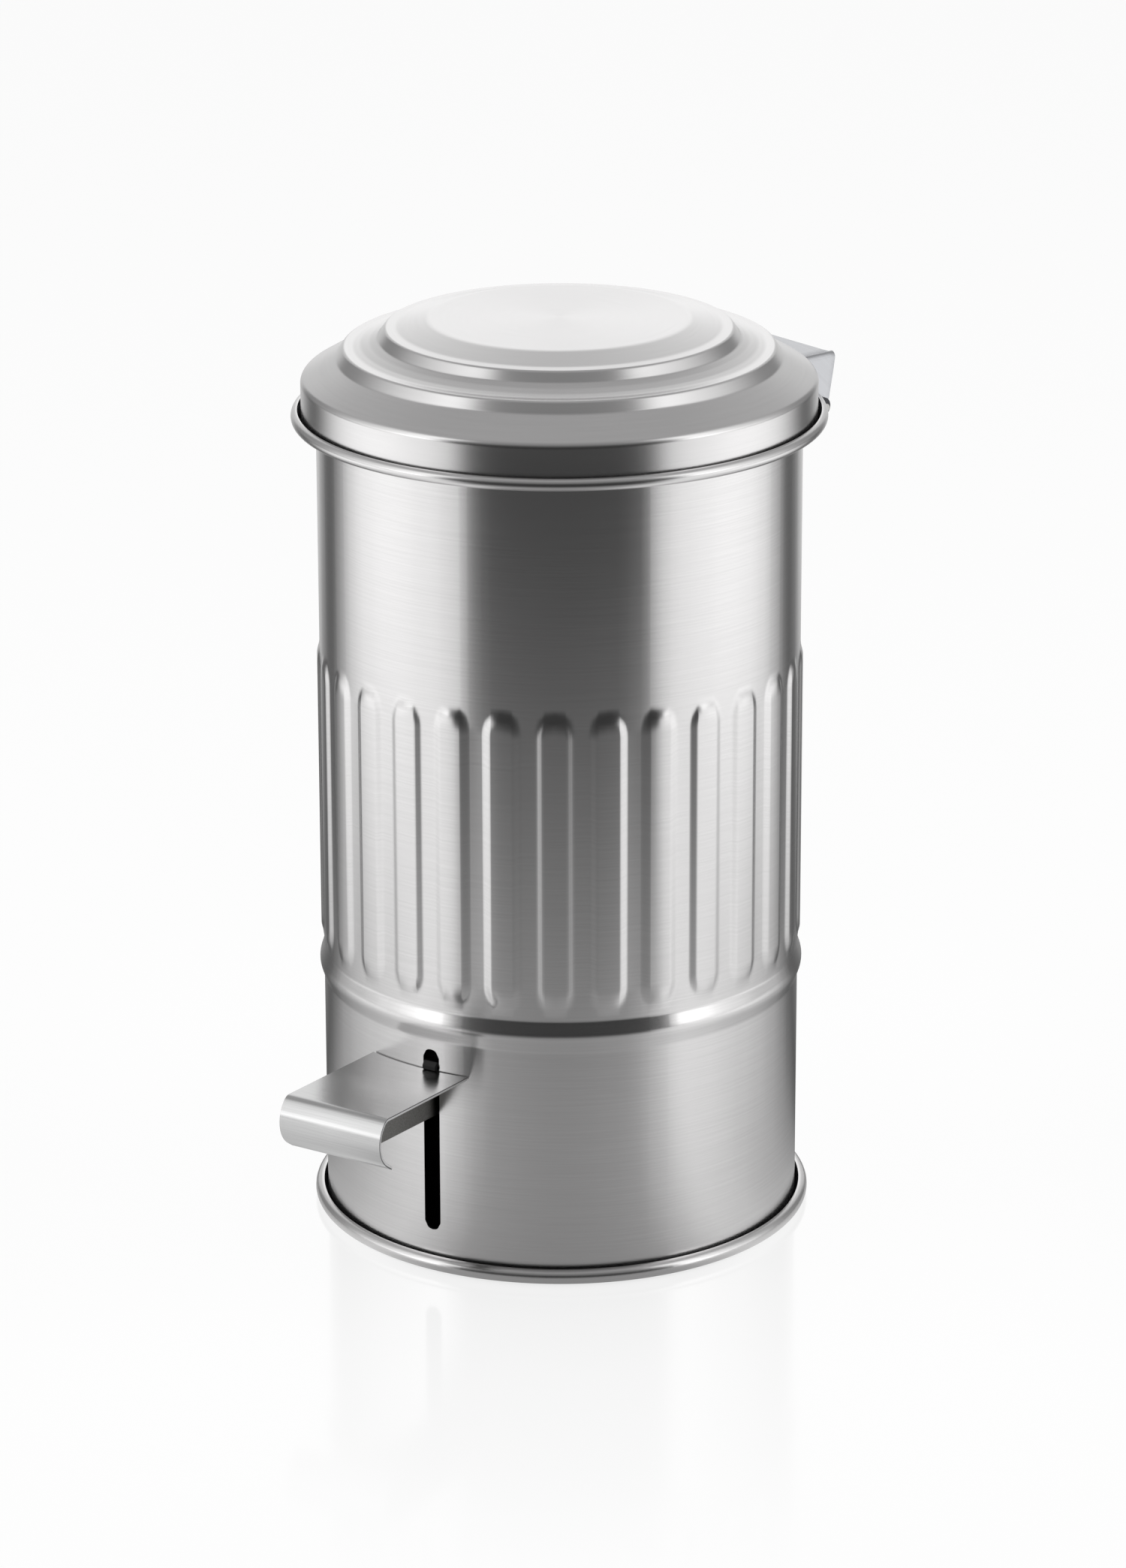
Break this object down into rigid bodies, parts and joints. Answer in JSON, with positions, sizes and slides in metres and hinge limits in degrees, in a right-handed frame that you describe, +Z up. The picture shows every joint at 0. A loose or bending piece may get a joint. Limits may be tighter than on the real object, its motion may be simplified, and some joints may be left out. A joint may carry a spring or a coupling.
{
  "type": "pedal bin",
  "caption": "Slim round pedal bin of brushed steel with pressed ribs, a stepped hinged lid, a foot pedal with push rod, and a plastic inner bucket with a wire bail.",
  "frame": {"origin": "on the can's axis, at the middle of the base disc's flat underside, which rests on the floor", "axes": "+Z up along the can's axis, -Y towards the pedal and its slot, +X to the right seen from the pedal side"},
  "size_m": [0.1852, 0.2421, 0.3235],
  "materials": {
    "brushed_shell": "brushed round the can, satin",
    "brushed_lid": "brushed straight, satin",
    "brushed_pedal": "brushed, satin",
    "plain_steel": "rolled sheet, dull",
    "rivet_steel": "drawn, semi bright",
    "spring_steel": "dark phosphated",
    "black_plastic": "fine moulded grain",
    "bucket_plastic": "moulded, slightly glossy",
    "bush_plastic": "natural nylon",
    "black_rubber": "smooth, glossy where pressed",
    "grey_rubber": "soft matte"
  },
  "bodies": {
    "can": {"body_shell": "brushed_shell", "base_cup": "plain_steel", "base_disc": "black_plastic", "inner_bucket": "bucket_plastic", "rim_bumpers": "grey_rubber", "hinge_bracket": "plain_steel", "hinge_bracket_rivets": "rivet_steel", "hinge_pin": "rivet_steel", "hinge_pin_clip": "spring_steel", "rod_guide_upper": "plain_steel", "rod_guide_lower": "plain_steel", "rod_guide_rivets": "rivet_steel", "pedal_bracket": "plain_steel", "pedal_bracket_rivets": "rivet_steel", "pedal_pin": "rivet_steel", "pedal_pin_clip": "spring_steel"},
    "lid": {"lid_shell": "brushed_lid", "lid_arm": "brushed_lid", "lid_arm_rivets": "rivet_steel", "lid_crank": "plain_steel"},
    "pedal": {"pedal_tread": "brushed_pedal", "pedal_lever": "plain_steel", "pedal_tail": "plain_steel", "lever_bushes": "bush_plastic", "lever_buffer": "black_rubber"},
    "rod": {"push_rod": "rivet_steel", "rod_foot": "black_plastic", "rod_clip": "spring_steel"},
    "bail": {"bail_wire": "rivet_steel", "bail_grip": "black_plastic"}
  },
  "joints": [
    {"name": "lid_hinge", "type": "hinge", "parent": "can", "child": "lid", "pos_m": [0.02874, 0.08845, 0.282], "axis": [-0.9511, 0.309, 0], "range_deg": [0, 74]},
    {"name": "pedal_hinge", "type": "hinge", "parent": "can", "child": "pedal", "pos_m": [0, 0.0213, 0.022], "axis": [1, 0, 0], "range_deg": [0, 20]},
    {"name": "rod_slide", "type": "slide", "parent": "can", "child": "rod", "axis": [0, 0, 1], "range_m": [0, 0.019]},
    {"name": "bail_swing", "type": "hinge", "parent": "can", "child": "bail", "pos_m": [0, 0, 0.2873], "axis": [1, 0, 0], "range_deg": [-100, 100]}
  ],
  "couplings": [
    {"joint": "pedal_hinge", "follows": "lid_hinge", "ratio": 0.27027},
    {"joint": "rod_slide", "follows": "lid_hinge", "m_per_rad": 0.014715}
  ]
}
